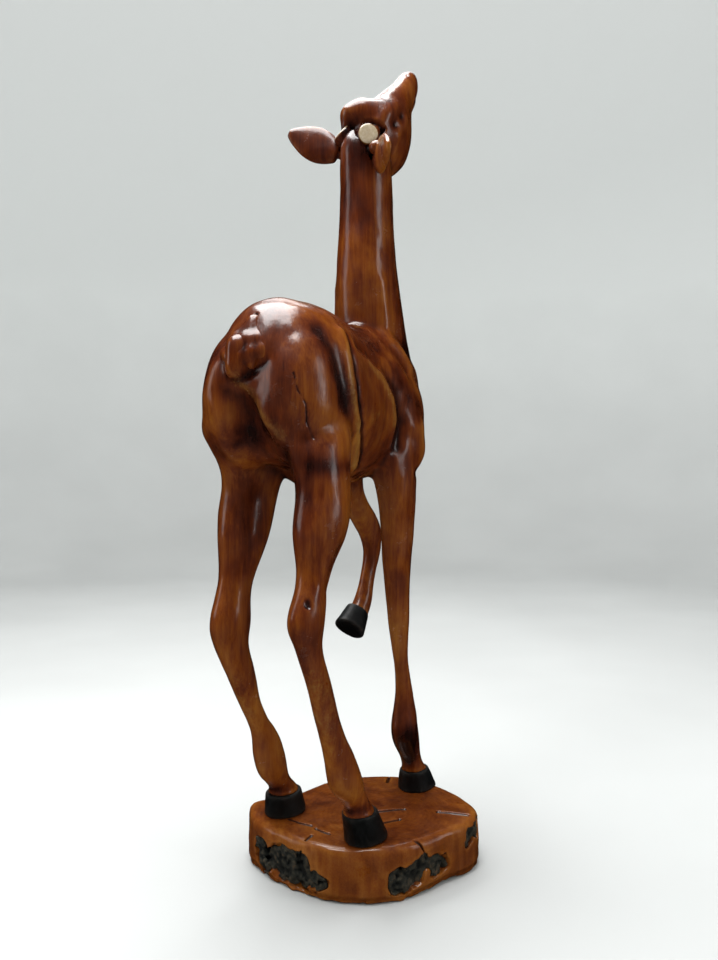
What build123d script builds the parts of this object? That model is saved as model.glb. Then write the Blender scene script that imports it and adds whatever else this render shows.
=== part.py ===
from build123d import *

import math
import os

# Carved giraffe statue: a stained and lacquered wooden giraffe that looks up, on a slice of log.
#
# Millimetres, +Z up. The origin is the middle of the plinth's underside, which rests on a table.
# The giraffe faces -Y, and its left side is +X. Places on the animal are (forward, left, height):
# forward of the origin, left of the animal's own middle plane, and height above the table.

# ---- driving dimensions -------------------------------------------------------------------------
PLINTH_THICK = 35.0
PLINTH_EDGE = 4.0  # rounding of the plinth's top edge
MIDDLE_X = 16.0  # the animal's middle plane stands left of the plinth's middle
OVAL_POINTS = 12  # spline points in the outline of one oval section
EGG_STEPS = 4  # level sections on each side of an egg's middle
EGG_POLE = 80.0  # degrees above the middle at which an egg ends in a small flat

LEG_SEAM_Z = 262.0  # glue joint between each leg and the body, just below the belly
NECK_SEAM_Z = 402.0  # glue joint between body and neck
HEAD_SEAM_Z = 503.0  # glue joint between neck and head

HEAD_START = (8.0, 0.0, 520.0)  # start of the head's long axis: ahead of the neck, aside, height
HEAD_YAW = 13.0  # degrees that the head turns to the animal's right
HEAD_PITCH = 58.0  # degrees that the muzzle points above the horizon
HEAD_ROLL = 15.0  # degrees that the head leans onto its right cheek
NECK_TOP_FORWARD = 27.0

PEG_R = 3.0  # pegs that hold the hooves down
PEG_LOW, PEG_HIGH = 15.0, 46.0  # the pegs' ends above the table
DOWEL_R = 4.5  # dowels across the glue joints
DOWEL_HALF = 16.0  # half of a dowel's length
TENON_R = 3.2  # round tenons of the ears
TENON_LONG = 9.0

# The plinth's uneven outline, anticlockwise from the animal's left hind hoof.
PLINTH_OUTLINE = [
    (75, 36), (51, 55), (20, 61), (-9, 60), (-33, 49), (-49, 33), (-60, 8), (-70, -18),
    (-70, -37), (-54, -54), (-24, -66), (9, -66), (34, -50), (51, -28), (56, -5), (68, 18),
]  # fmt: skip

# Pockets of ingrown bark in the plinth's side: middle, half sizes, and turn about Z in degrees.
BARK_POCKETS = {
    "bark_rear": ((21, 62, 17), (32, 9, 14), 0),
    "bark_right": ((-57, 20, 16), (21, 8, 13), 66),
    "bark_right_front": ((-75, -28, 25), (9, 6, 7), 90),
}

# Body sections across the animal: (forward, height of middle, half width, half height).
BODY_ROWS = [
    (-111, 340, 12, 18), (-101, 335, 31, 38), (-85, 331, 42, 51.5), (-64, 330, 46, 54.5),
    (-42, 325, 44, 59), (-18, 322, 42, 57), (6, 325, 41, 57), (30, 331, 38, 55),
    (50, 333, 31, 47), (66, 334, 20, 34), (73, 334, 10, 20),
]  # fmt: skip

# Level sections of neck and limbs: (height, forward, left, half width, half length).
NECK_ROWS = [
    (350, 38, 0, 27, 34), (394, 34, 0, 24, 30), (443, 29, 0, 20.5, 25), (478, 29, 0, 19, 22.5),
    (503, 28, 0, 18, 22), (530, 24, 0, 16, 20),
]  # fmt: skip
LIMB_ROWS = {
    "leg_hind_left": [
        (310, -80, 25, 22, 31), (287, -73, 30, 19.5, 26), (262, -66, 34, 16.5, 21.5),
        (243, -70, 34, 16, 21), (221, -76, 33, 13, 17), (200, -82, 33, 10, 13),
        (180, -86, 33, 11, 15), (165, -86, 33, 10, 13), (141, -77, 32, 8, 10.5),
        (122, -69, 32, 6.6, 8), (95, -53, 32, 7.9, 10), (81, -48, 32, 9.6, 12),
        (68, -45, 31, 9.4, 11.5), (58, -38, 31, 8.5, 10), (50, -33, 31, 10, 12),
    ],
    "leg_hind_right": [
        (310, -79, -25, 21, 28), (287, -78, -31, 18.5, 24), (262, -80, -36, 15.5, 20),
        (245, -83, -37, 15.5, 20), (225, -88, -37, 12, 15.5), (205, -94, -37, 9, 11.5),
        (190, -99, -37, 9.8, 13.5), (175, -98, -37, 8, 10.5), (154, -91, -38, 6.8, 8.5),
        (137, -84, -38, 7, 8.5), (113, -74, -38, 7.5, 9), (90, -63, -38, 9.3, 12),
        (76, -57, -38, 9.6, 12), (64, -48, -38, 8, 10), (55, -43, -38, 10, 12),
    ],
    "leg_front_right": [
        (305, 28, -20, 20, 29), (283, 27, -24, 17, 25), (262, 26, -27, 13.5, 18),
        (228, 28, -27, 11, 14.5), (190, 28, -27, 8.5, 10.8), (164, 30, -27, 7.2, 9),
        (138, 33, -27, 5.4, 6.4), (105, 37, -28, 7, 8.5), (80, 38, -28, 9.3, 12),
        (70, 42, -28, 8.5, 11), (58, 48, -28, 7.4, 9), (50, 52, -28, 9, 11),
    ],
    "leg_front_left": [
        (305, 28, 20, 19, 26), (283, 36, 25, 15, 20), (262, 47, 28, 11, 15),
        (250, 58, 28, 9.5, 13), (237, 71, 28, 9.3, 14.5), (222, 81, 28, 8, 10.5),
        (212, 83, 28, 7, 8.5), (193, 78, 28, 5.6, 6.8), (180, 73, 28, 6, 7.2),
        (168, 67, 28, 7, 9), (150, 58, 28, 8, 11),
    ],
}  # fmt: skip

# Egg-shaped masses of thigh and shoulder: the middle as (forward, left, height), then half width,
# half length and half height.
MUSCLES = [
    ((-82, 20, 322), (27, 33, 46)), ((-80, -20, 322), (26, 32, 46)),
    ((28, -16, 315), (26, 33, 48)), ((28, 15, 316), (25, 30, 48)),
]  # fmt: skip

# Standing hooves: top and bottom sections in the same form as the limbs' rows.
HOOF_ROWS = {
    "hoof_hind_left": [(50, -33, 31, 11.5, 14), (PLINTH_THICK, -31, 31, 13.5, 16.5)],
    "hoof_hind_right": [(55, -42, -38, 11, 13), (PLINTH_THICK, -35, -39, 14, 16)],
    "hoof_front_right": [(50, 52.5, -28, 10, 12.5), (PLINTH_THICK, 57, -28, 14, 17)],
}
# The lifted hoof: middle of its top and of its sole, and the direction that the sole faces.
LIFTED_TOP, LIFTED_SOLE = (61, 28, 163), (48, 28, 150)
LIFTED_FACING = (-0.68, 0, -0.73)
LIFTED_TOP_HALVES, LIFTED_SOLE_HALVES = (9, 10.5), (12, 14)

# The head's sections along its axis: (along, offset towards the forehead, half width, half depth).
HEAD_ROWS = [
    (-12, 0, 12, 14), (3, -4, 17, 25), (13, -5.5, 18, 27.5), (26, -5, 18, 26), (45, -1.5, 14, 18.5),
    (62, 0, 10.5, 12.5), (76, 1.5, 8.5, 8.5), (83, 2, 5.5, 5),
]  # fmt: skip

# Ossicones: middle of the root and of the flat end, as (forward of the neck's axis, aside, height)
# in the head's own heading, and the two radii.
OSSICONES = {
    "ossicone_right": ((0, -10, 534), (-13, -16, 519)),
    "ossicone_left": ((-1, 9, 542), (-13, 13, 529)),
}
OSSICONE_ROOT_R, OSSICONE_END_R = 9.5, 7.3

# Ears: middle of the root and the tip, in the same form.
EARS = {
    "ear_left": ((-10, 19, 516), (-35, 53, 537)),
    "ear_right": ((-10, -19, 505), (-35, -53, 497)),
}
# Sections along an ear: (along, half width, half thickness).
EAR_ROWS = [(0, 7, 5), (10, 12, 5), (22, 13, 4), (34, 9, 3), (43, 3, 1.5)]

# The tail's tuft, half sunk in the rump, in the same form as the masses.
TAIL_MIDDLE, TAIL_HALVES = (-109, 4, 343), (9, 9, 16)


def place(forward, left, height):
    """A point of the animal in the part's own frame."""
    return Vector(MIDDLE_X + left, -forward, height)


def head_place(ahead, aside, height):
    """A point given ahead of the neck's axis and to the left, in the turned head's own heading."""
    yaw = math.radians(HEAD_YAW)
    forward = NECK_TOP_FORWARD + ahead * math.cos(yaw) + aside * math.sin(yaw)
    left = aside * math.cos(yaw) - ahead * math.sin(yaw)
    return place(forward, left, height)


def oval(plane, half_x, half_y):
    """A smooth oval face on a plane, with its half sizes along the plane's own x and y."""
    turns = [2 * math.pi * i / OVAL_POINTS for i in range(OVAL_POINTS)]
    ring = [plane.from_local_coords((half_x * math.cos(a), half_y * math.sin(a), 0)) for a in turns]
    return Face(Wire([Edge.make_spline(ring, periodic=True)]))


def level_loft(rows):
    """A solid lofted through level ovals, from rows in the limbs' form."""
    ovals = []
    for height, forward, left, half_width, half_length in rows:
        plane = Plane(origin=place(forward, left, height), x_dir=(1, 0, 0), z_dir=(0, 0, 1))
        ovals.append(oval(plane, half_width, half_length))
    return loft(ovals)


def egg(middle, halves, turn=0.0):
    """An egg-shaped solid with tiny flat poles, turned about its upright axis."""
    half_width, half_length, half_height = halves
    ovals = []
    for step in range(-EGG_STEPS, EGG_STEPS + 1):
        angle = math.radians(EGG_POLE * step / EGG_STEPS)
        level = Plane(origin=middle + Vector(0, 0, half_height * math.sin(angle))).rotated((0, 0, turn))
        ovals.append(oval(level, half_width * math.cos(angle), half_length * math.cos(angle)))
    return loft(ovals)


def below(solid, height):
    """The part of a solid under a level."""
    return split(solid, bisect_by=Plane.XY.offset(height), keep=Keep.BOTTOM)


def above(solid, height):
    """The part of a solid over a level."""
    return split(solid, bisect_by=Plane.XY.offset(height), keep=Keep.TOP)


def rod(start, end, radius, end_radius=None):
    """A round rod between two points, tapered if the end has a radius of its own."""
    start, end = Vector(start), Vector(end)
    span = end - start
    end_radius = radius if end_radius is None else end_radius
    near = Plane(origin=start, z_dir=span.normalized())
    far = Plane(origin=end, z_dir=span.normalized())
    if end_radius == radius:
        return extrude(near * Circle(radius), span.length)
    return loft([near * Circle(radius), far * Circle(end_radius)])


def limb_middle(rows, height):
    """The middle of a limb at a height, between the two rows next to it."""
    for (z0, f0, s0, _, _), (z1, f1, s1, _, _) in zip(rows, rows[1:]):
        if min(z0, z1) <= height <= max(z0, z1):
            part = (height - z0) / (z1 - z0)
            return place(f0 + (f1 - f0) * part, s0 + (s1 - s0) * part, height)
    raise ValueError(f"no row at height {height}")


def dowel_across(rows, height):
    """A dowel through the glue joint at a height, along the middle of the limb."""
    return rod(limb_middle(rows, height - DOWEL_HALF), limb_middle(rows, height + DOWEL_HALF), DOWEL_R)


def make_plinth():
    """The slice of log and the bark in its pockets."""
    outline = Face(Wire([Edge.make_spline([Vector(x, y, 0) for x, y in PLINTH_OUTLINE], periodic=True)]))
    slab = extrude(outline, PLINTH_THICK)
    rim = slab.edges().filter_by(lambda edge: edge.center().Z > PLINTH_THICK / 2)
    slab = fillet(rim, PLINTH_EDGE)
    pieces = {}
    for name, (middle, halves, turn) in BARK_POCKETS.items():
        pocket = egg(Vector(*middle), halves, turn)
        pieces[name] = slab & pocket
        slab = slab - pocket
    pieces["base_block"] = slab
    return pieces


def make_body():
    """Body with the roots of neck and limbs, down to the level glue joints."""
    sections = []
    for forward, height, half_width, half_height in BODY_ROWS:
        plane = Plane(origin=place(forward, 0, height), x_dir=(1, 0, 0), z_dir=(0, -1, 0))
        sections.append(oval(plane, half_width, half_height))
    body = loft(sections) + below(level_loft(NECK_ROWS), NECK_SEAM_Z)
    for middle, halves in MUSCLES:
        body += egg(place(*middle), halves)
    for rows in LIMB_ROWS.values():
        body += above(level_loft(rows), LEG_SEAM_Z)
    return body


def make_head():
    """Head and the top of the neck, before its pockets are cut."""
    yaw, pitch = math.radians(HEAD_YAW), math.radians(HEAD_PITCH)
    axis = Vector(-math.sin(yaw) * math.cos(pitch), -math.cos(yaw) * math.cos(pitch), math.sin(pitch))
    aside = Vector(math.cos(yaw), -math.sin(yaw), 0).rotate(Axis((0, 0, 0), axis), HEAD_ROLL)
    start = Plane(origin=head_place(*HEAD_START), x_dir=aside, z_dir=axis)
    ovals = []
    for along, offset, half_width, half_depth in HEAD_ROWS:
        plane = Plane(origin=start.from_local_coords((0, offset, along)), x_dir=aside, z_dir=axis)
        ovals.append(oval(plane, half_width, half_depth))
    head = loft(ovals) + above(level_loft(NECK_ROWS), HEAD_SEAM_Z)
    return above(head, HEAD_SEAM_Z)


def make_ear(root, tip):
    """A leaf-shaped ear with a round tenon at its root."""
    root, tip = head_place(*root), head_place(*tip)
    axis = (tip - root).normalized()
    broad = Vector(0, 0, 1) - axis * axis.Z
    ovals = []
    for along, half_width, half_thick in EAR_ROWS:
        plane = Plane(origin=root + axis * along, x_dir=broad.normalized(), z_dir=axis)
        ovals.append(oval(plane, half_width, half_thick))
    return loft(ovals) + rod(root - axis * TENON_LONG, root + axis, TENON_R)


def make_lifted_hoof():
    """The lifted hoof, and the plane of its top."""
    facing = Vector(0, -LIFTED_FACING[0], LIFTED_FACING[2])
    top = Plane(origin=place(*LIFTED_TOP), x_dir=(1, 0, 0), z_dir=facing)
    sole = Plane(origin=place(*LIFTED_SOLE), x_dir=(1, 0, 0), z_dir=facing)
    return loft([oval(top, *LIFTED_TOP_HALVES), oval(sole, *LIFTED_SOLE_HALVES)]), top


def make_parts():
    """Every node by name."""
    parts = make_plinth()
    limbs = {name: level_loft(rows) for name, rows in LIMB_ROWS.items()}
    lifted_hoof, lifted_top = make_lifted_hoof()
    for name, limb in limbs.items():
        parts[name] = below(limb, LEG_SEAM_Z)
    parts["leg_front_left"] = split(parts["leg_front_left"], bisect_by=lifted_top, keep=Keep.BOTTOM)
    parts["hoof_front_left"] = lifted_hoof
    for name, rows in HOOF_ROWS.items():
        parts[name] = level_loft(rows)
        forward, left = rows[0][1], rows[0][2]
        peg = rod(place(forward, left, PEG_LOW), place(forward, left, PEG_HIGH), PEG_R)
        parts[name] -= peg
        parts["base_block"] -= peg
        parts[name.replace("hoof", "peg")] = peg

    parts["neck"] = above(below(level_loft(NECK_ROWS), HEAD_SEAM_Z), NECK_SEAM_Z)
    body, head = make_body(), make_head()

    for name, (root, end) in OSSICONES.items():
        parts[name] = rod(head_place(*root), head_place(*end), OSSICONE_ROOT_R, OSSICONE_END_R)
        head -= parts[name]
    for name, (root, tip) in EARS.items():
        parts[name] = make_ear(root, tip)
        head -= parts[name]
        parts["neck"] -= parts[name]
    parts["tail"] = egg(place(*TAIL_MIDDLE), TAIL_HALVES)
    body -= parts["tail"]

    for name, rows in LIMB_ROWS.items():
        dowel = dowel_across(rows, LEG_SEAM_Z)
        parts[name] -= dowel
        body -= dowel
        parts[name.replace("leg", "dowel")] = dowel
    neck_dowel = dowel_across(NECK_ROWS, NECK_SEAM_Z)
    head_dowel = dowel_across(NECK_ROWS, HEAD_SEAM_Z)
    parts["neck"] = parts["neck"] - neck_dowel - head_dowel
    parts["torso"] = body - neck_dowel
    parts["head"] = head - head_dowel
    parts["dowel_neck"] = neck_dowel
    parts["dowel_head"] = head_dowel
    return parts


os.makedirs("parts", exist_ok=True)
for node, solid in make_parts().items():
    export_step(solid, f"parts/{node}.step")
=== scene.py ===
import math

import bmesh
import bpy
import numpy as np
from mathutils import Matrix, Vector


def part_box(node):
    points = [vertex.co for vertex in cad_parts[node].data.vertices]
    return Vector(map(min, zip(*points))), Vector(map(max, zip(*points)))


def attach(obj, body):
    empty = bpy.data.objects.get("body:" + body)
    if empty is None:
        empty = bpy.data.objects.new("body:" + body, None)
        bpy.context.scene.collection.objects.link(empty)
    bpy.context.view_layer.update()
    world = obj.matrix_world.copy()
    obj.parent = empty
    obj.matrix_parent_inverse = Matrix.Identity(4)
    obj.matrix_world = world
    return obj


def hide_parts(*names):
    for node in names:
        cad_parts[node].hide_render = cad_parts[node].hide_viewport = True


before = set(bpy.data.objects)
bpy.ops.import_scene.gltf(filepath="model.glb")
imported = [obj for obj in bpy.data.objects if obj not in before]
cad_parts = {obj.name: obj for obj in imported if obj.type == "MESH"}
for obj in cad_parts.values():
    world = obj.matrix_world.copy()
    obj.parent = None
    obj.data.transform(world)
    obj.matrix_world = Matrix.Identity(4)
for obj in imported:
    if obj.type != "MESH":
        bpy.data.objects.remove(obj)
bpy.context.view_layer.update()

import openvdb
from mathutils import Vector

# Looks of the carved giraffe: a sculpted skin over the frame's bodies, and its own pieces for
# hooves, ears, ossicones, tail, plinth and bark. Metres; places on the animal are (forward, left,
# height) in millimetres. It faces -Y, with its middle plane at MIDDLE_X.

MM = 0.001
MIDDLE_X = 16.0  # millimetres from the frame's middle to the animal's middle plane


# ---- measures ----
SKIN_VOXEL = 0.8 * MM  # grid spacing in the figure's skin
SMALL_VOXEL = 0.5 * MM  # and in every smaller piece
BAND = 11  # cells of distance kept on each side of a surface
FLAT_TOLERANCE = 2e-5  # corners this near a glue joint's height lie in its face
DOWEL_REACH = 4.6 * MM  # a bore's faces lie this near a dowel's axis
BORE_BEYOND = 3 * MM  # and end no further than this beyond the dowel
HOLLOW_STEP = 0.5 * MM  # height over its surroundings at which a ridge counts fully

SKIN = ["torso", "neck", "head"]
SKIN += ["leg_hind_left", "leg_hind_right", "leg_front_right", "leg_front_left"]
PEGS = ["peg_hind_left", "peg_hind_right", "peg_front_right"]
DOWELS = ["dowel_neck", "dowel_head", "dowel_hind_left", "dowel_hind_right"]
DOWELS += ["dowel_front_left", "dowel_front_right"]

LEG_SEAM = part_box("torso")[0].z
NECK_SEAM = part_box("neck")[0].z
HEAD_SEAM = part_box("head")[0].z
SEAMS = (LEG_SEAM, NECK_SEAM, HEAD_SEAM)

# ---- strokes on the figure ----
# Line of (forward, left, height), width, and how far the surface rises, or sinks if negative.
BOTH_SIDES = [
    # fold of skin from the flank to the stifle: groove, lip, and the thigh's hollow behind it
    (
        [(-53, -37, 363), (-58, -43, 349), (-57, -46, 335), (-53, -45, 319), (-45, -41, 304)],
        2.8, -2.0,
    ),
    ([(-45, -41, 304), (-35, -35, 289), (-26, -27, 277)], 3.2, -1.3),
    (
        [(-63, -38, 361), (-66, -43, 348), (-66, -46, 334), (-61, -45, 319), (-52, -41, 304)],
        4.6, 2.4,
    ),
    ([(-52, -41, 304), (-42, -35, 289), (-34, -28, 278)], 5, 1.6),
    ([(-84, -37, 358), (-79, -42, 347), (-77, -45, 333), (-72, -46, 318)], 7, -1.6),
    # belly's rim, and the hollow between belly and shoulder
    ([(-34, -40, 346), (-18, -41, 336), (-7, -42, 324), (0, -40, 311), (1, -35, 297)], 6, 1.6),
    ([(-42, -39, 357), (-14, -41, 347), (3, -41, 329), (11, -39, 310), (11, -35, 293)], 5.5, -2.6),
    ([(-28, -40, 316)], 20, 1.5),
    # neck running into the shoulder, and the shoulder's edge
    ([(19, -19, 412), (20, -21, 388), (19, -26, 372), (34, -34, 352)], 6, 1.8),
    ([(7, -20, 404), (8, -24, 382), (10, -31, 366), (24, -38, 350)], 6, -1.8),
    ([(20, -40, 336), (26, -42, 310), (34, -41, 295)], 9, 1.8),
    ([(36, -40, 304), (42, -38, 291)], 11, 3.6),
    ([(54, -28, 350), (50, -33, 322)], 13, 2.4),
    ([(46, -34, 276), (34, -40, 274)], 4, -1.6),
]
ONE_SIDE = [
    # withers, underside of the belly
    ([(-6, -12, 378)], 9, 1.8),
    ([(-46, 12, 270), (-16, 10, 268)], 14, 2.6),
    ([(-78, 6, 382), (-48, 4, 381)], 16, 0.8),
    # edge of the right buttock below the tail, and the cleft between the thighs
    (
        [(-113, 8, 330), (-108, -4, 322), (-109, -12, 309), (-108, -21, 299), (-102, -29, 291)],
        6, 1.5,
    ),
    ([(-113, 12, 322), (-106, 2, 309), (-104, -6, 298), (-98, -18, 284)], 6, -2.4),
    ([(-112, 6, 316), (-104, 3, 298), (-98, 0, 278), (-90, -1, 262)], 8, -6.5),
    ([(-100, 14, 290), (-92, 14, 270)], 7, -3),
    ([(-112, 20, 340), (-110, 30, 322), (-100, 40, 300)], 6, 1.2),
    # knobs and hollows of the hocks and knees
    ([(-92, 33, 182), (-92, 33, 170)], 6, 0.8),
    ([(-104, -37, 192), (-104, -37, 182)], 6, 0.8),
    ([(-76, 42, 200), (-68, 41, 225)], 5, -1.4),
    ([(-88, -46, 205), (-82, -46, 228)], 5, -1.4),
    ([(-90, -29, 205), (-82, -29, 228)], 5, -1.2),
    ([(84, 28, 224)], 8, 1.2),
    ([(38, -36, 95), (30, -35, 78)], 5, 0.8),
    ([(24, -28, 86)], 5, 1.2),
    ([(-56, 31, 84)], 5, 1.4),
    ([(-66, -38, 80)], 5, 1.4),
    ([(46, -28, 66), (38, -28, 64)], 4, -0.9),
    ([(-44, 38, 64), (-46, 31, 64), (-44, 24, 64)], 3.5, -0.9),
    ([(-52, -31, 70), (-60, -38, 69), (-52, -45, 70)], 3.5, -0.9),
    # recess below the tail's tuft
    ([(-112, 12, 331), (-113, 2, 329), (-110, -8, 333), (-108, -15, 338)], 3.4, -0.8),
    # the neck's top, rounded off behind the head, and the recess over the right ossicone
    ([(6, -13, 531), (2, 0, 530), (8, 13, 531)], 9, -9),
    ([(14, -19, 527), (10, -11, 532), (13, 0, 532)], 4, -3),
]
# The poll behind the forehead: line, radii, and how softly it joins the head.
POLL = [(18, 13, 534), (20, 9, 543), (25, 2, 546), (33, -8, 544)]
POLL_RADII = [5, 6, 7.5, 8]
POLL_BLEND = 8
# Drying cracks and nicks: line, width and depth of a V-shaped cut.
CRACKS = [
    ([(-103, -3, 369), (-106, 0, 364), (-109, 1, 360), (-112, 4, 354)], 1.3, 2.6),
    (
        [(-106, -33, 331), (-105, -35, 321), (-101, -38, 313), (-99, -37, 303), (-95, -39, 294)],
        1.0, 1.4,
    ),
    ([(-106, -43, 199), (-106, -43, 197)], 2.6, 3.0),
]

# The head's own frame, as the part's head is set: start, yaw, pitch and roll of the long axis.
HEAD_START = (35, 0, 520)
HEAD_YAW, HEAD_PITCH, HEAD_ROLL = math.radians(13), math.radians(58), math.radians(15)
# Strokes on the head: line of (aside, towards the forehead, along), width and rise.
HEAD_BOTH_SIDES = [
    ([(12, 16, 10), (14, 16, 18), (14, 14, 26), (12, 12, 33)], 5, 2.0),  # brow
    ([(17, 7, 17), (18, 6, 23), (16, 5, 29)], 4, -1.2),  # eye socket
    ([(17.5, 5.5, 22)], 3.8, 1.2),  # eyeball
    ([(18, 1, 14), (18, -1, 23), (16, 0, 31)], 3.6, 1.0),  # lower lid and cheekbone
    ([(8, -25, 12), (8, -23, 24), (6, -20, 34)], 9, -1.4),  # flatter throat
    ([(14, -3, 40), (12, -4, 50), (9, -4, 60)], 5, -0.8),  # hollow above the lip
    ([(5, 8, 74), (6, 6, 70)], 2.2, -0.8),  # nostril
    ([(0, -7, 81), (8, -7, 72), (11, -8, 62), (11, -9, 56)], 1.4, -1.2),  # mouth
    ([(4, -9, 66), (2, -7, 76)], 8, 2.4),  # lips
]
HEAD_ONE_SIDE = [
    ([(0, 20, 8), (0, 19, 20), (0, 16, 34)], 8, 1.0),
    ([(-4, -16, 50)], 6, -1.6),
]

# ---- stain and wear, with painted shade and painted highlights ----
# Line, reach and amount.
DARK_STAINS_AND_SHADE = [
    # painted shade in the cleft between the thighs and between the hind legs
    ([(-103, 2, 294), (-98, 0, 280), (-92, 0, 264)], 12, 1.1),
    ([(-84, 16, 262), (-88, -18, 268)], 14, 0.9),
    ([(34, -18, 470), (34, -18, 430), (36, -20, 400)], 14, 0.3),
    ([(9, -40, 339), (28, -42, 322)], 11, 0.55),
    ([(42, -26, 367)], 12, 0.6),
    # painted shade in the thigh's hollow behind the fold
    ([(-84, -37, 360), (-79, -42, 347), (-76, -45, 333), (-68, -45, 314)], 9, 0.75),
    ([(-99, -42, 277), (-89, -48, 277), (-72, -49, 277)], 5.5, 0.75),
    ([(33, -31, 82), (36, -31, 62)], 6.5, 2.2),
    # painted shade on the neck just below the head
    ([(12, -10, 505), (6, -6, 515)], 14, 0.6),
    # painted shade in the recess below the tail's tuft
    ([(-112, 10, 331), (-113, 0, 328), (-109, -14, 336)], 3, 0.5),
    ([(-34, 30, 50), (-42, 30, 56)], 6, 0.7),
    ([(-44, -38, 54), (-52, -38, 60)], 6, 0.7),
    # painted shade under the belly
    ([(-40, 20, 268), (20, 10, 268)], 14, 0.4),
    # painted shade over the neck's top behind the head, around the ossicone's recess
    ([(10, -14, 530), (10, 0, 534), (16, 12, 530)], 7, 0.9),
    ([(-110, 26, 350), (-108, 38, 330)], 14, 0.35),
]
WARM_STAINS_AND_HIGHLIGHT = [
    ([(14, 4, 440), (18, 16, 405), (10, 10, 390)], 16, 0.5),
    # painted highlight on the elbow, in orange
    ([(34, -41, 306), (41, -39, 291)], 7, 0.9),
    ([(-50, -30, 75), (-60, -38, 78)], 12, 0.5),
    ([(26, -30, 200), (26, -30, 150)], 12, 0.3),
    ([(-105, -20, 335), (-104, -26, 315)], 12, 0.4),
    ([(-84, -44, 240)], 14, 0.3),
    ([(-104, 34, 330), (-106, 26, 305)], 15, 0.5),
]
# Pale wear, and painted highlights where noted.
TAN_WEAR_AND_HIGHLIGHTS = [
    # painted highlight along the belly's rim
    ([(-34, -42, 345), (-18, -42, 335), (-7, -43, 323), (1, -40, 308)], 5, 0.7),
    ([(-30, -42, 310)], 15, 0.45),
    # painted highlight along the fold's lip
    ([(-65, -42, 350), (-67, -47, 334), (-62, -46, 319), (-52, -42, 304)], 3.2, 0.8),
    ([(-52, -42, 304), (-42, -36, 289), (-34, -29, 278)], 4, 0.8),
    ([(-112, 4, 326), (-108, -5, 318), (-109, -13, 307), (-106, -23, 297)], 7.5, 0.55),
    ([(-46, 10, 268), (-16, 8, 268)], 13, 0.5),
    # painted highlight on the withers
    ([(-8, -14, 378)], 7, 0.6),
    ([(-90, 30, 140), (-66, 32, 110)], 12, 0.35),
    ([(-92, -38, 150), (-74, -38, 110)], 12, 0.5),
]


def at(forward, left, height):
    """A place on the animal, in the frame's metres."""
    return ((MIDDLE_X + left) * MM, -forward * MM, height * MM)


def route(line, mirror=1):
    """A line of places on the animal, in metres, or on its other side where mirror is -1."""
    return [at(forward, mirror * left, height) for forward, left, height in line]


def head_axes():
    """The head's start, and its directions aside, towards the forehead and along."""
    along = Vector((
        -math.sin(HEAD_YAW) * math.cos(HEAD_PITCH),
        -math.cos(HEAD_YAW) * math.cos(HEAD_PITCH),
        math.sin(HEAD_PITCH),
    ))
    level = Vector((math.cos(HEAD_YAW), -math.sin(HEAD_YAW), 0))
    rise = along.cross(level)
    aside = level * math.cos(HEAD_ROLL) + rise * math.sin(HEAD_ROLL)
    return Vector(at(*HEAD_START)), aside, along.cross(aside), along


HEAD_AT, HEAD_ASIDE, HEAD_UP, HEAD_ALONG = head_axes()


def head_at(aside, up, along):
    """A place on the head, in the frame's metres."""
    return tuple(HEAD_AT + (HEAD_ASIDE * aside + HEAD_UP * up + HEAD_ALONG * along) * MM)


def head_route(line, mirror=1):
    """A line of places on the head, or on its other side where mirror is -1."""
    return [head_at(mirror * aside, up, along) for aside, up, along in line]


def middle_of(name):
    """A CAD node's middle."""
    low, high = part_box(name)
    return (low + high) / 2


def read(items, key, width=1, kind=np.float32):
    """One value of each vertex, face or corner, as an array with a row for each."""
    values = np.empty(len(items) * width, kind)
    items.foreach_get(key, values)
    return values.reshape(-1, width) if width > 1 else values


def mesh_arrays(name):
    """The corner points and triangles of a CAD node."""
    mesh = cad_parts[name].data
    mesh.calc_loop_triangles()
    triangles = read(mesh.loop_triangles, "vertices", 3, np.int32)
    return read(mesh.vertices, "co", 3), triangles


def line_distance(points, line):
    """Distances from points, as three arrays that broadcast, to a line of places in metres."""
    x, y, z = points
    if len(line) == 1:
        line = [line[0], line[0]]
    nearest = None
    for a, b in zip(line, line[1:]):
        ax, ay, az = a
        dx, dy, dz = b[0] - ax, b[1] - ay, b[2] - az
        length = dx * dx + dy * dy + dz * dz + 1e-12
        part = np.clip(((x - ax) * dx + (y - ay) * dy + (z - az) * dz) / length, 0, 1)
        gap = (x - ax - part * dx) ** 2 + (y - ay - part * dy) ** 2 + (z - az - part * dz) ** 2
        nearest = gap if nearest is None else np.minimum(nearest, gap)
    return np.sqrt(nearest)


def smooth_weights(count, start, step, cells, scale):
    """Weights that spread random values on a coarse line over a fine one."""
    place = (start + np.arange(count) * step) / scale
    cell = np.floor(place).astype(int)
    part = place - cell
    part = part * part * (3 - 2 * part)
    weights = np.zeros((count, cells), np.float32)
    rows = np.arange(count)
    weights[rows, cell % cells] += 1 - part
    weights[rows, (cell + 1) % cells] += part
    return weights


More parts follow.
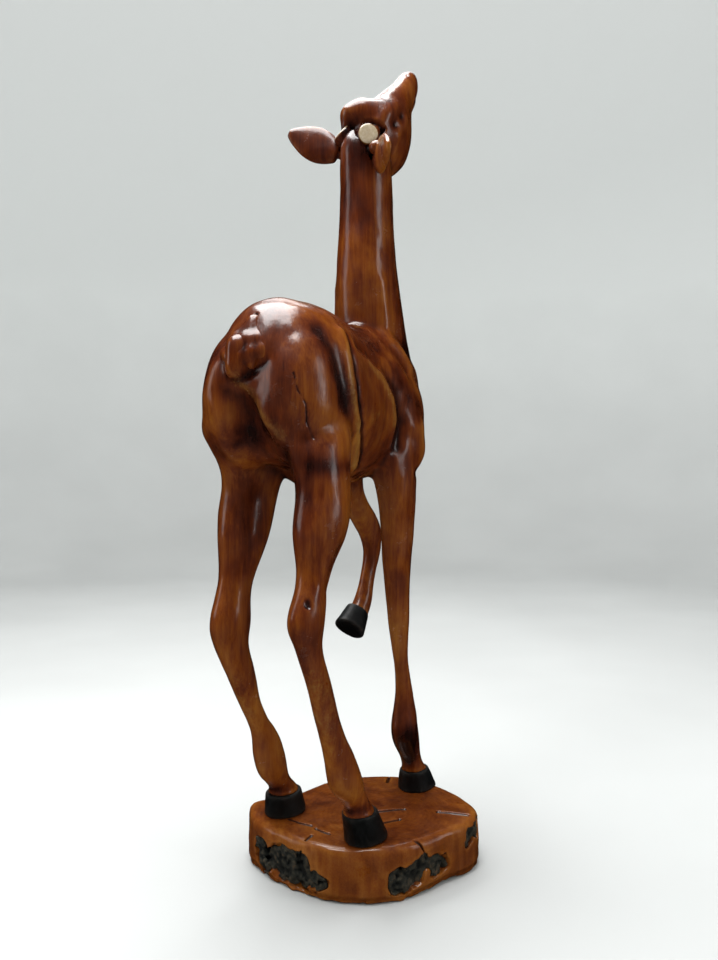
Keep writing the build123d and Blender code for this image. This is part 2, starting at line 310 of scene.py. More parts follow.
# ---- carving ----
class Field:
    """Distances to a surface on a regular grid, in which a form is carved."""

    def __init__(self, solids, voxel, band=BAND):
        self.voxel = voxel
        corners = np.concatenate([points for points, _ in solids])
        margin = (band + 3) * voxel
        self.low = np.floor((corners.min(0) - margin) / voxel).astype(int)
        shape = np.ceil((corners.max(0) + margin) / voxel).astype(int) - self.low
        self.cells = None
        transform = openvdb.createLinearTransform(voxelSize=voxel)
        for points, triangles in solids:
            grid = openvdb.FloatGrid.createLevelSetFromPolygons(
                points.astype(np.float32),
                triangles=triangles.astype(np.uint32),
                transform=transform,
                halfWidth=float(band),
            )
            cells = np.zeros(tuple(shape), np.float32)
            grid.copyToArray(cells, ijk=tuple(int(v) for v in self.low))
            self.cells = cells if self.cells is None else np.minimum(self.cells, cells)

    def like(self, cells):
        """Another form on the same grid."""
        other = Field.__new__(Field)
        other.voxel, other.low, other.cells = self.voxel, self.low, cells.astype(np.float32)
        return other

    def axis(self, index, window=slice(None)):
        """Positions of the grid's cells along one axis, shaped to broadcast."""
        count = self.cells.shape[index]
        values = ((np.arange(count) + self.low[index]) * self.voxel).astype(np.float32)[window]
        return values.reshape([-1 if i == index else 1 for i in range(3)])

    def window(self, line, reach):
        """The block of cells within reach of a line, and its positions."""
        line = np.array(line)
        first = np.floor((line.min(0) - reach) / self.voxel).astype(int) - self.low
        last = np.ceil((line.max(0) + reach) / self.voxel).astype(int) - self.low + 1
        block = tuple(slice(max(0, a), max(0, b)) for a, b in zip(first, last))
        return block, tuple(self.axis(i, block[i]) for i in range(3))

    def stroke(self, line, width, rise, sharp=False):
        """Raises or sinks the surface beside a line. Width and rise are in millimetres."""
        width, rise = width * MM, rise * MM
        reach = width if sharp else 2.4 * width
        block, places = self.window(line, reach)
        gap = line_distance(places, line) / width
        form = np.clip(1 - gap, 0, 1) if sharp else np.exp(-gap * gap)
        self.cells[block] -= rise * form

    def join(self, line, radius):
        """Adds a round bar along a line of places in metres."""
        block, places = self.window(line, radius + BAND * self.voxel)
        bar = line_distance(places, line) - radius
        self.cells[block] = np.minimum(self.cells[block], bar)

    def join_smooth(self, line, radii, blend):
        """Adds bars along a line, tapered over its stretches, blended into what is there."""
        for a, b, start, end in zip(line, line[1:], radii, radii[1:]):
            reach = max(start, end) + BAND * self.voxel
            block, (x, y, z) = self.window([a, b], reach)
            step = np.subtract(b, a)
            length = float(step @ step)
            part = ((x - a[0]) * step[0] + (y - a[1]) * step[1] + (z - a[2]) * step[2]) / length
            part = np.clip(part, 0, 1)
            bar = line_distance((x, y, z), [a, b]) - (start + (end - start) * part)
            old = self.cells[block]
            mix = np.clip(0.5 + 0.5 * (bar - old) / blend, 0, 1)
            self.cells[block] = bar + (old - bar) * mix - blend * mix * (1 - mix)

    def blurred(self, radius):
        """The distances averaged over a soft ball, whose radius is in cells."""
        cells = self.cells
        span = 2 * radius + 1
        for axis in range(3):
            for _ in range(3):
                pad = [(radius + 1, radius) if i == axis else (0, 0) for i in range(3)]
                total = np.cumsum(np.pad(cells, pad, mode="edge"), axis=axis, dtype=np.float32)
                upper = [slice(span, None) if i == axis else slice(None) for i in range(3)]
                lower = [slice(None, -span) if i == axis else slice(None) for i in range(3)]
                cells = (total[tuple(upper)] - total[tuple(lower)]) / span
        return cells

    def noise(self, scale, seed, stretch=(1, 1, 1)):
        """Smooth random values from -1 to 1 over the whole grid."""
        cells = 24
        coarse = np.random.default_rng(seed).uniform(-1, 1, (cells,) * 3).astype(np.float32)
        for i in range(3):
            start = self.low[i] * self.voxel
            weights = smooth_weights(
                self.cells.shape[i], start, self.voxel, cells, scale * stretch[i] * MM
            )
            coarse = np.moveaxis(np.tensordot(weights, coarse, axes=(1, i)), 0, i)
        return coarse

    def roughen(self, scale, seed, depth, stretch=(1, 1, 1), share=1):
        """Moves the surface in and out by up to depth, in millimetres, times its share."""
        self.cells += self.noise(scale, seed, stretch) * share * depth * MM

    def sample(self, points, cells=None):
        """Values at points between the grid's cells, by default distances."""
        cells = self.cells if cells is None else cells
        place = points / self.voxel - self.low
        first = np.clip(np.floor(place).astype(int), 0, np.array(cells.shape) - 2)
        part = (place - first).astype(np.float32)
        x, y, z = first.T
        u, v, w = part.T

        def edge(i, j):
            return cells[i, j, z] * (1 - w) + cells[i, j, z + 1] * w

        near = edge(x, y) * (1 - v) + edge(x, y + 1) * v
        far = edge(x + 1, y) * (1 - v) + edge(x + 1, y + 1) * v
        return near * (1 - u) + far * u

    def slopes(self, points):
        """Unit outward directions at points on the surface."""
        slope = np.empty_like(points)
        for i in range(3):
            step = np.zeros(3)
            step[i] = self.voxel
            slope[:, i] = self.sample(points + step) - self.sample(points - step)
        return slope / np.maximum(np.linalg.norm(slope, axis=1, keepdims=True), 1e-9)

    def surface(self):
        """The surface as points in metres and four-sided faces."""
        grid = openvdb.FloatGrid(float(self.cells.max()))
        grid.copyFromArray(np.ascontiguousarray(self.cells))
        points, quads = grid.convertToQuads(isovalue=0.0)[:2]
        return (points + self.low) * self.voxel, quads[:, ::-1]


def make_mesh(name, points, quads):
    """A mesh from arrays."""
    mesh = bpy.data.meshes.new(name)
    mesh.vertices.add(len(points))
    mesh.vertices.foreach_set("co", points.astype(np.float32).ravel())
    mesh.loops.add(quads.size)
    mesh.loops.foreach_set("vertex_index", quads.astype(np.int32).ravel())
    mesh.polygons.add(len(quads))
    mesh.polygons.foreach_set("loop_start", np.arange(0, quads.size, 4, dtype=np.int32))
    mesh.update(calc_edges=True)
    return mesh


def keep_biggest(points, quads):
    """Drops loose specks: keeps the faces joined to the biggest form."""
    label = np.arange(len(points))
    while True:
        lowest = label[quads].min(1)
        new = label.copy()
        np.minimum.at(new, quads.ravel(), np.repeat(lowest, 4))
        new = new[new]
        if (new == label).all():
            break
        label = new
    names, counts = np.unique(label, return_counts=True)
    kept = label == names[counts.argmax()]
    index = np.cumsum(kept) - 1
    return points[kept], index[quads[kept[quads[:, 0]]]]


def paint(mesh, name, values):
    """Stores one number for each corner point, for the material to read."""
    layer = mesh.attributes.new(name, "FLOAT", "POINT")
    layer.data.foreach_set("value", np.ascontiguousarray(values, dtype=np.float32))


def stained(points, marks):
    """How much of the listed marks each point has; they hold stains and wear, and painted shade and
    painted highlights.
    """
    total = np.zeros(len(points), np.float32)
    for line, reach, amount in marks:
        gap = line_distance(points.T, route(line)) / (reach * MM)
        total += amount * np.exp(-gap * gap)
    return total


def paint_marks(mesh, field, soft, darkest=1.2):
    """Stores hollows, stain with painted shade, and wear with painted highlights for the material.
    Soft is the blurred field.
    """
    points = read(mesh.vertices, "co", 3)
    ridge = (field.sample(points, soft) - field.sample(points)) / HOLLOW_STEP
    paint(mesh, "ridge", np.clip(ridge, -1, 1))
    paint(mesh, "dark_stain_and_shade", np.clip(stained(points, DARK_STAINS_AND_SHADE), 0, darkest))
    paint(mesh, "warm_stain_and_highlight", np.clip(stained(points, WARM_STAINS_AND_HIGHLIGHT), 0, 1.2))
    paint(mesh, "tan", np.clip(stained(points, TAN_WEAR_AND_HIGHLIGHTS), 0, 1.2))


def show(name, data):
    """An object in the scene."""
    thing = bpy.data.objects.new(name, data)
    bpy.context.scene.collection.objects.link(thing)
    return thing


def finish_piece(mesh, name, nodes, material):
    """Puts a mesh in the scene as the visible form of CAD nodes."""
    mesh.materials.append(material)
    mesh.shade_smooth()
    piece = show(name, mesh)
    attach(piece, "root")
    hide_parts(*nodes)
    return piece


# ---- materials ----
class Finish:
    """A procedural material in the making, with noise placed in the object's own space."""

    def __init__(self, name):
        self.material = bpy.data.materials.new(name)
        self.material.use_nodes = True
        self.tree = self.material.node_tree
        self.shader = self.tree.nodes["Principled BSDF"]
        self.space = self.add("ShaderNodeTexCoord").outputs["Object"]

    def add(self, kind, inputs=None, **settings):
        """A node, with its settings and its inputs as numbers or other nodes' outputs."""
        node = self.tree.nodes.new(kind)
        for key, value in settings.items():
            setattr(node, key, value)
        for key, value in (inputs or {}).items():
            if isinstance(value, bpy.types.NodeSocket):
                self.tree.links.new(value, node.inputs[key])
            else:
                node.inputs[key].default_value = value
        return node

    def stretched(self, scale, turn=(0, 0, 0), shift=(0, 0, 0)):
        """The object's space, scaled along each axis."""
        inputs = {"Vector": self.space, "Scale": scale, "Rotation": turn, "Location": shift}
        return self.add("ShaderNodeMapping", inputs).outputs[0]

    def noise(self, scale, detail=4.0, roughness=0.55, distortion=0.0, space=None):
        """A noise value."""
        inputs = {"Vector": space or self.space, "Scale": scale, "Detail": detail}
        inputs.update({"Roughness": roughness, "Distortion": distortion})
        return self.add("ShaderNodeTexNoise", inputs).outputs[0]

    def ramp(self, value, stops):
        """A colour for each value."""
        node = self.add("ShaderNodeValToRGB", {"Fac": value})
        ends = node.color_ramp.elements
        while len(ends) < len(stops):
            ends.new(0.5)
        for end, (position, colour) in zip(ends, stops):
            end.position = position
            end.color = (*colour, 1)
        return node.outputs[0]

    def sum(self, *terms, start=0.0):
        """A sum of (value, weight) terms."""
        total = start
        for value, weight in terms:
            inputs = {0: value, 1: weight, 2: total}
            total = self.add("ShaderNodeMath", inputs, operation="MULTIPLY_ADD").outputs[0]
        return total

    def spread(self, value, low, high, to_low, to_high):
        """A value moved from one range to another and held there."""
        inputs = {"Value": value, "From Min": low, "From Max": high}
        inputs.update({"To Min": to_low, "To Max": to_high})
        return self.add("ShaderNodeMapRange", inputs).outputs[0]

    def blend(self, amount, first, second):
        """Two colours mixed."""
        node = self.add("ShaderNodeMix", {0: amount}, data_type="RGBA")
        for socket, value in ((node.inputs[6], first), (node.inputs[7], second)):
            if isinstance(value, bpy.types.NodeSocket):
                self.tree.links.new(value, socket)
            else:
                socket.default_value = (*value, 1)
        return node.outputs[2]

    def mark(self, name):
        """A value painted on the mesh."""
        return self.add("ShaderNodeAttribute", attribute_name=name).outputs["Fac"]

    def bump(self, height, strength, distance, normal=None):
        """A normal bent by a height."""
        inputs = {"Height": height, "Strength": strength, "Distance": distance}
        if normal is not None:
            inputs["Normal"] = normal
        return self.add("ShaderNodeBump", inputs).outputs[0]

    def set(self, **inputs):
        """Sets the shader's sockets, with underscores for spaces."""
        for key, value in inputs.items():
            socket = self.shader.inputs[key.replace("_", " ")]
            if isinstance(value, bpy.types.NodeSocket):
                self.tree.links.new(value, socket)
            else:
                socket.default_value = value


def stained_wood():
    """Dark maroon to orange-brown stain over wood, under a worn gloss lacquer, with painted shade
    in its hollows and painted highlights on some edges.
    """
    finish = Finish("stained_wood")
    streaks = finish.noise(230, 7, 0.62, 0.35, finish.stretched((1, 1, 0.075)))
    fibres = finish.noise(1300, 3, 0.6, 0.1, finish.stretched((1, 1, 0.03)))
    blotch = finish.noise(20, 5, 0.55, 0.5, finish.stretched((1, 1, 0.7)))
    speckle = finish.noise(420, 5, 0.7)
    warm_stain_and_highlight, dark_stain_and_shade = finish.mark("warm_stain_and_highlight"), finish.mark("dark_stain_and_shade")
    ridge = finish.mark("ridge")
    # Tone: the dark mark darkens it, partly stain and partly painted shade; the warm mark warms it,
    # partly stain and partly a painted highlight on the elbow; ridge darkens hollows a little, as
    # painted shade.
    tone = finish.sum(
        (streaks, 0.36), (fibres, 0.14), (blotch, 0.80), (warm_stain_and_highlight, 0.2), (dark_stain_and_shade, -0.26), (ridge, 0.10),
        start=-0.175,
    )
    stain = finish.ramp(tone, [
        (0.16, (0.007, 0.0013, 0.0008)), (0.33, (0.040, 0.0058, 0.0018)),
        (0.46, (0.100, 0.0175, 0.0028)), (0.58, (0.185, 0.046, 0.0045)),
        (0.76, (0.300, 0.105, 0.011)),
    ])
    # Pale colour of worn edges; through the tan mark it also paints highlights on the belly's rim,
    # the fold's lip and the withers.
    tan = finish.ramp(finish.sum((streaks, 0.6), (speckle, 0.5)), [
        (0.35, (0.130, 0.050, 0.010)), (0.62, (0.270, 0.140, 0.030)),
    ])
    wear = finish.sum(
        (finish.mark("tan"), 1.0), (ridge, 0.30), (speckle, 1.2), (streaks, 0.8), start=-1.2
    )
    colour = finish.blend(finish.spread(wear, 0.25, 0.95, 0.0, 0.62), stain, tan)
    # Pale wood where the tan mark is strongest: worn spots, and the painted highlight on each
    # ossicone's flat end.
    pale_wood_share = finish.sum((finish.mark("tan"), 1.0), (speckle, 0.6), (streaks, 0.4), start=-0.5)
    pale_wood = finish.ramp(speckle, [(0.3, (0.42, 0.33, 0.21)), (0.7, (0.62, 0.53, 0.39))])
    colour = finish.blend(finish.spread(pale_wood_share, 1.3, 1.7, 0.0, 0.9), colour, pale_wood)
    # Hollows and the dark marks blend towards near-black: painted shade, and real black paint on
    # the front pastern.
    hollow = finish.sum((ridge, -0.55), (dark_stain_and_shade, 0.32), (speckle, 0.3), start=-0.25)
    colour = finish.blend(finish.spread(hollow, 0.0, 0.6, 0.0, 0.9), colour, (0.006, 0.003, 0.003))
    smudge = finish.noise(60, 6, 0.7)
    grain = finish.sum((streaks, 0.5), (fibres, 0.5))
    facets = finish.noise(95, 3, 0.5, 0.2, finish.stretched((1, 1, 0.5)))
    rough = finish.bump(grain, 0.35, 0.0006, finish.bump(facets, 0.25, 0.002))
    coat = finish.bump(grain, 0.16, 0.0004, finish.bump(facets, 0.20, 0.002))
    finish.set(
        Base_Color=colour, Roughness=finish.spread(smudge, 0.3, 0.7, 0.26, 0.52), Normal=rough,
        Specular_IOR_Level=0.06, Coat_Weight=1.0, Coat_IOR=1.5, Coat_Normal=coat,
        Coat_Roughness=finish.spread(smudge, 0.35, 0.7, 0.13, 0.30),
    )
    return finish.material


def plinth_wood():
    """Orange-brown lacquered log slice with year rings on top and streaks down its side."""
    finish = Finish("plinth_wood")
    streaks = finish.noise(150, 7, 0.65, 0.5, finish.stretched((1, 1, 0.14)))
    fibres = finish.noise(900, 4, 0.6)
    blotch = finish.noise(24, 5, 0.6, 0.5)
    rings = finish.add("ShaderNodeTexWave", {
        "Vector": finish.stretched((1, 1, 0.05), shift=(0.018, 0.004, 0)), "Scale": 95.0,
        "Distortion": 3.5, "Detail": 4.0, "Detail Scale": 1.3, "Detail Roughness": 0.6,
    }, wave_type="RINGS", rings_direction="Z").outputs["Fac"]
    ridge = finish.mark("ridge")
    tone = finish.sum(
        (streaks, 0.42), (fibres, 0.2), (blotch, 0.62), (rings, 0.035), (ridge, 0.12), start=-0.14
    )
    colour = finish.ramp(tone, [
        (0.20, (0.024, 0.005, 0.0015)), (0.38, (0.082, 0.017, 0.003)),
        (0.54, (0.160, 0.040, 0.005)), (0.70, (0.240, 0.078, 0.011)),
        (0.86, (0.320, 0.150, 0.035)),
    ])
    # Painted shade: hollows and cracks blend towards near-black, broken up by the blotches; ridge
    # already darkens them a little in the tone.
    hollow = finish.sum((ridge, -0.7), (blotch, 0.3), start=-0.35)
    colour = finish.blend(finish.spread(hollow, 0.0, 0.6, 0.0, 0.9), colour, (0.012, 0.006, 0.004))
    smudge = finish.noise(70, 6, 0.7)
    grain = finish.sum((streaks, 0.5), (fibres, 0.3), (rings, 0.05))
    facets = finish.noise(80, 4, 0.5)
    finish.set(
        Base_Color=colour, Roughness=finish.spread(smudge, 0.3, 0.7, 0.25, 0.5),
        Normal=finish.bump(grain, 0.4, 0.0008, finish.bump(facets, 0.3, 0.002)),
        Specular_IOR_Level=0.08, Coat_Weight=0.75,
        Coat_Normal=finish.bump(grain, 0.2, 0.0005, finish.bump(facets, 0.25, 0.002)),
        Coat_Roughness=finish.spread(smudge, 0.35, 0.7, 0.08, 0.25),
    )
    return finish.material


def rough_bark():
    """Rough green-black bark."""
    finish = Finish("bark")
    flakes = finish.noise(160, 8, 0.75, 0.6)
    grit = finish.noise(900, 5, 0.7)
    tone = finish.sum((flakes, 0.8), (grit, 0.4), (finish.mark("ridge"), 0.15), start=-0.1)
    colour = finish.ramp(tone, [
        (0.34, (0.003, 0.003, 0.003)), (0.52, (0.010, 0.011, 0.008)),
        (0.66, (0.034, 0.031, 0.020)), (0.84, (0.110, 0.060, 0.028)),
    ])
    finish.set(
        Base_Color=colour, Roughness=finish.spread(grit, 0.3, 0.7, 0.6, 0.95),
        Normal=finish.bump(tone, 0.9, 0.0025), Specular_IOR_Level=0.35,
    )
    return finish.material


def hoof_black():
    """Dull black paint, scuffed along the edges."""
    finish = Finish("hoof_black")
    scuffs = finish.noise(190, 6, 0.7, 0.2)
    grit = finish.noise(1200, 4, 0.6, 0.0, finish.stretched((1, 1, 0.3)))
    worn = finish.sum((finish.mark("ridge"), 0.5), (scuffs, 1.0), (grit, 0.35), start=-0.55)
    colour = finish.ramp(worn, [
        (0.25, (0.003, 0.0035, 0.0035)), (0.55, (0.007, 0.008, 0.0075)),
        (0.98, (0.040, 0.022, 0.014)),
    ])
    finish.set(
        Base_Color=colour, Roughness=finish.spread(scuffs, 0.3, 0.7, 0.42, 0.68),
        Normal=finish.bump(finish.sum((scuffs, 0.6), (grit, 0.4)), 0.5, 0.0006),
        Specular_IOR_Level=0.35,
    )
    return finish.material


def peg_wood():
    """Plain turned hardwood."""
    finish = Finish("peg_wood")
    fibres = finish.noise(700, 5, 0.6, 0.2, finish.stretched((1, 1, 0.05)))
    colour = finish.ramp(fibres, [(0.3, (0.36, 0.22, 0.11)), (0.7, (0.60, 0.44, 0.26))])
    finish.set(
        Base_Color=colour, Roughness=finish.spread(fibres, 0.3, 0.7, 0.45, 0.65),
        Normal=finish.bump(fibres, 0.4, 0.0004),
    )
    return finish.material


STAINED, PLINTH, BARK = stained_wood(), plinth_wood(), rough_bark()
HOOF, PEG = hoof_black(), peg_wood()


# ---- figure ----
DOWEL_END = 2 * MM  # points this near a dowel's tip belong to its end

# Pockets under the tail, ears and ossicones, closed by bars in the wood. Millimetres.
TAIL_POCKET = {"forward": 3, "half_height": 6, "radius": 8}
HEAD_POCKET = {"along": 6, "radius": 5.5}  # how far along the head its bars meet
ROOT_SHARE = 0.35  # share of an ear's or ossicone's points that are its root

# The CAD's edges are softened on the body, less towards the head, and not on the legs.
SOFT_BALL = 3  # cells
SOFT_BELOW, SOFT_RUN = 8, 24  # sets in below the leg joints, and is full after the run
FADE_BELOW, FADE_RUN = 10, 40  # fades over a run that ends below the head joint
FADE_LEFT = 0.25


def dowel_axis(name):
    """The middle points of a dowel's two ends."""
    points, _ = mesh_arrays(name)
    ends = []
    for sign in (-1, 1):
        rank = points[:, 2] * sign
        ends.append(points[rank > rank.max() - DOWEL_END].mean(0).astype(float))
    return ends


def open_skin():
    """The figure's CAD bodies as one closed skin, without glue joints and bores."""
    axes = [dowel_axis(name) for name in DOWELS]
    all_points, all_triangles, count = [], [], 0
    for name in SKIN:
        points, triangles = mesh_arrays(name)
        heights = points[triangles][:, :, 2]
        kept = np.ones(len(triangles), bool)
        for seam in SEAMS:
            kept &= ~(np.abs(heights - seam).max(1) < FLAT_TOLERANCE)
        for low_end, high_end in axes:
            direction = (high_end - low_end) / np.linalg.norm(high_end - low_end)
            along = (points - low_end) @ direction
            span = np.linalg.norm(high_end - low_end)
            apart = np.linalg.norm(points - low_end - along[:, None] * direction, axis=1)
            bore = (apart < DOWEL_REACH) & (along > -BORE_BEYOND) & (along < span + BORE_BEYOND)
            kept &= ~bore[triangles].all(1)
        all_points.append(points)
        all_triangles.append(triangles[kept] + count)
        count += len(points)
    return np.concatenate(all_points), np.concatenate(all_triangles)


def fill_pockets(field):
    """Closes the pockets of tail, ears and ossicones, so that those pieces sink into solid wood."""
    half = TAIL_POCKET["half_height"]
    bar = [Vector((0, TAIL_POCKET["forward"] * MM, z * MM)) for z in (-half, half)]
    field.join([tuple(middle_of("tail") + end) for end in bar], TAIL_POCKET["radius"] * MM)
    meeting = HEAD_AT + HEAD_ALONG * HEAD_POCKET["along"] * MM
    for name in ("ear_left", "ear_right", "ossicone_left", "ossicone_right"):
        points, _ = mesh_arrays(name)
        gap = np.linalg.norm(points - np.array(meeting), axis=1)
        root = points[gap < np.quantile(gap, ROOT_SHARE)].mean(0).astype(float)
        field.join([tuple(root), tuple(meeting)], HEAD_POCKET["radius"] * MM)


def carve_figure():
    """The whole skin with its muscles, folds and cracks."""
    field = Field([open_skin()], SKIN_VOXEL)
    fill_pockets(field)
    field.join_smooth(route(POLL), [r * MM for r in POLL_RADII], POLL_BLEND * MM)
    soft = field.blurred(SOFT_BALL)
    z = field.axis(2)
    share = np.clip((z - LEG_SEAM + SOFT_BELOW * MM) / (SOFT_RUN * MM), 0, 1)
    share = share * np.clip((HEAD_SEAM - FADE_BELOW * MM - z) / (FADE_RUN * MM), FADE_LEFT, 1)
    field.cells += (soft - field.cells) * share
    for line, width, rise in BOTH_SIDES:
        field.stroke(route(line), width, rise)
        field.stroke(route(line, mirror=-1), width, rise)
    for line, width, rise in ONE_SIDE:
        field.stroke(route(line), width, rise)
    for line, width, rise in HEAD_BOTH_SIDES:
        field.stroke(head_route(line), width, rise)
        field.stroke(head_route(line, mirror=-1), width, rise)
    for line, width, rise in HEAD_ONE_SIDE:
        field.stroke(head_route(line), width, rise)
    for line, width, depth in CRACKS:
        field.stroke(route(line), width, -depth, sharp=True)
    field.roughen(12, 3, 0.42, (1, 1, 1.6))
    field.roughen(5, 4, 0.12, (1, 1, 1.5))
    return field


def cut_at_seams(mesh):
    """Cuts the skin along the glue joints without taking it apart."""
    form = bmesh.new()
    form.from_mesh(mesh)
    for seam in SEAMS:
        near = [f for f in form.faces if abs(f.verts[0].co.z - seam) < 4 * SKIN_VOXEL]
        edges = list({e for f in near for e in f.edges})
        verts = list({v for f in near for v in f.verts})
        bmesh.ops.bisect_plane(
            form, geom=verts + edges + near, plane_co=(0, 0, seam), plane_no=(0, 0, 1), dist=1e-7
        )
    form.to_mesh(mesh)
    form.free()


def belongs(name, middle):
    """Whether a face's middle lies in a piece."""
    x, y, z = middle
    if name == "head":
        return z > HEAD_SEAM
    if name == "neck":
        return NECK_SEAM < z < HEAD_SEAM
    if name == "torso":
        return LEG_SEAM < z < NECK_SEAM
    left, hind = x > MIDDLE_X * MM, y > 0
    return z < LEG_SEAM and left == ("left" in name) and hind == ("hind" in name)


def piece_of(whole, name):
    """One piece of the cut skin, closed with flat caps at its glue joints."""
    form = bmesh.new()
    form.from_mesh(whole)
    middles = read(whole.polygons, "center", 3)
    form.faces.ensure_lookup_table()
    away = [f for f, m in zip(form.faces, middles) if not belongs(name, m)]
    bmesh.ops.delete(form, geom=away, context="FACES")
    rim = [e for e in form.edges if e.is_boundary]
    caps = bmesh.ops.holes_fill(form, edges=rim, sides=0)["faces"]
    bmesh.ops.triangulate(form, faces=caps)
    bmesh.ops.recalc_face_normals(form, faces=form.faces[:])
    mesh = bpy.data.meshes.new(name + "_look")
    form.to_mesh(mesh)
    form.free()
    return mesh


def set_normals(mesh, field):
    """Shades the skin by the carved form, so that glue joints don't show; caps stay flat."""
    points = read(mesh.vertices, "co", 3)
    slopes = field.slopes(points)
    corners = read(mesh.loops, "vertex_index", 1, np.int32)
    totals = read(mesh.polygons, "loop_total", 1, np.int32)
    flat = read(mesh.polygons, "normal", 3)
    owner = np.repeat(np.arange(len(mesh.polygons)), totals)
    level = np.abs(points[:, 2, None] - np.array(SEAMS)).min(1) < 1e-6
    cap = np.ones(len(mesh.polygons), bool)
    np.logical_and.at(cap, owner, level[corners])
    normals = slopes[corners]
    normals[cap[owner]] = flat[owner[cap[owner]]]
    mesh.normals_split_custom_set(normals.tolist())


def make_figure():
    """Torso, neck, head and legs."""
    field = carve_figure()
    whole = make_mesh("whole", *keep_biggest(*field.surface()))
    cut_at_seams(whole)
    soft = field.blurred(2)
    for name in SKIN:
        mesh = piece_of(whole, name)
        paint_marks(mesh, field, soft, darkest=2.2)
        finish_piece(mesh, name + "_look", [name], STAINED)
        set_normals(mesh, field)
    bpy.data.meshes.remove(whole)


# ---- smaller pieces ----
def small_piece(field, name, nodes, material, soften=1):
    """A piece from its own field."""
    if soften:
        field.cells = field.blurred(soften)
    mesh = make_mesh(name, *keep_biggest(*field.surface()))
    paint_marks(mesh, field, field.blurred(3))
    return finish_piece(mesh, name, nodes, material)


# A hoof's bore is closed by a bar of this radius, kept this far inside the hoof's ends.
HOOF_PLUG, HOOF_PLUG_INSET = 4.2, 5


def make_hooves():
    """Four hooves, a little uneven, with the peg's bore closed."""
    for number, name in enumerate(("hind_left", "hind_right", "front_right", "front_left")):
        field = Field([mesh_arrays("hoof_" + name)], SMALL_VOXEL)
        low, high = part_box("hoof_" + name)
        if name != "front_left":
            middle = middle_of("peg_" + name)
            heights = low.z + HOOF_PLUG_INSET * MM, high.z - HOOF_PLUG_INSET * MM
            field.join([tuple(Vector((middle.x, middle.y, z))) for z in heights], HOOF_PLUG * MM)
        field.roughen(9, 20 + number, 0.35)
        field.roughen(3, 30 + number, 0.12)
        small_piece(field, f"hoof_{name}_look", ["hoof_" + name], HOOF)


# Ossicones: root and middle of the flat end.
OSSICONES = {
    "left": ((27, 7, 518), (16.5, 15.5, 530.5)),
    "right": ((27, -3, 522), (8.5, -14, 519.5)),
}
OSSICONE_RADII = (8, 7.6)
OSSICONE_BEYOND = 8  # how far the bar runs past the flat end before it is cut
OSSICONE_ROOM = 2.0  # room to carve in, as a share of the CAD ossicone's size
END_HIGHLIGHT = 1.8  # painted highlight on the flat end, as pale wood colour
END_HIGHLIGHT_EDGE, END_HIGHLIGHT_RUN = 1.2, 0.8  # the painted highlight sets in behind the flat end, and is full after the run


def make_ossicones():
    """Two stubby horns with a flat, softly rounded end."""
    for number, (side, (root, end)) in enumerate(OSSICONES.items()):
        points, triangles = mesh_arrays("ossicone_" + side)
        middle = points.mean(0)
        room = ((points - middle) * OSSICONE_ROOM + middle).astype(np.float32)
        field = Field([(room, triangles)], SMALL_VOXEL)
        field.cells[:] = BAND * SMALL_VOXEL
        root, end = Vector(at(*root)), Vector(at(*end))
        outward = (end - root).normalized()
        beyond = end + outward * OSSICONE_BEYOND * MM
        field.join_smooth([tuple(root), tuple(beyond)], [r * MM for r in OSSICONE_RADII], MM)
        x, y, z = (field.axis(i) for i in range(3))
        cut = (x - end.x) * outward.x + (y - end.y) * outward.y + (z - end.z) * outward.z
        field.cells = np.maximum(field.cells, cut.astype(np.float32))
        field.roughen(7, 40 + number, 0.3)
        piece = small_piece(
            field, f"ossicone_{side}_look", ["ossicone_" + side], STAINED, 2
        )
        # The flat end gets a painted highlight through the tan mark.
        face = (read(piece.data.vertices, "co", 3) - np.array(end)) @ np.array(outward)
        pale_wood_share = np.clip((face + END_HIGHLIGHT_EDGE * MM) / (END_HIGHLIGHT_RUN * MM), 0, 1) * END_HIGHLIGHT
        piece.data.attributes["tan"].data.foreach_set("value", pale_wood_share.astype(np.float32))


# How far each carved ear sits from its blank, in metres.
EAR_SHIFT = {
    "left": np.array((0, 0, 0.001), np.float32),
    "right": np.array((-0.002, -0.002, -0.0035), np.float32),
}
EAR_HOLLOW = 6, -1.6  # width and rise of the stroke along an ear's front


def make_ears():
    """Two leaf-shaped ears, hollowed towards the front."""
    for number, side in enumerate(("left", "right")):
        name = "ear_" + side
        points, triangles = mesh_arrays(name)
        field = Field([(points + EAR_SHIFT[side], triangles)], SMALL_VOXEL)
        front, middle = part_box(name)[0].y, middle_of(name)
        outward = 1 if side == "left" else -1
        near = Vector((middle.x - outward * 6 * MM, front + 6 * MM, middle.z - 3 * MM))
        far = Vector((middle.x + outward * 8 * MM, middle.y - 3 * MM, middle.z + 1 * MM))
        field.stroke([tuple(near), tuple(far)], *EAR_HOLLOW)
        field.roughen(8, 50 + number, 0.25)
        small_piece(field, name + "_look", [name], STAINED)


# Locks of the tail's tuft: line of (forward, left, height), and the radius at each point.
TAIL_LOCKS = [
    ([(-103, -1, 364), (-107, 7, 354), (-110, 13, 345), (-110, 16, 339)], [3.5, 5, 5, 2.5]),
    ([(-103, -1, 364), (-108, 4, 352), (-112, 8, 342), (-114, 8, 334)], [3.5, 5.5, 5.5, 2.5]),
    ([(-103, -1, 364), (-108, -1, 352), (-112, 1, 342), (-114, 2, 333)], [3.5, 5.5, 5.5, 2.5]),
    ([(-103, -1, 364), (-107, -5, 352), (-110, -6, 344), (-111, -6, 337)], [3.5, 5, 5, 2.5]),
    ([(-103, -1, 364), (-105, -8, 352), (-107, -11, 346), (-108, -13, 342)], [3.5, 4.6, 4, 2.4]),
]
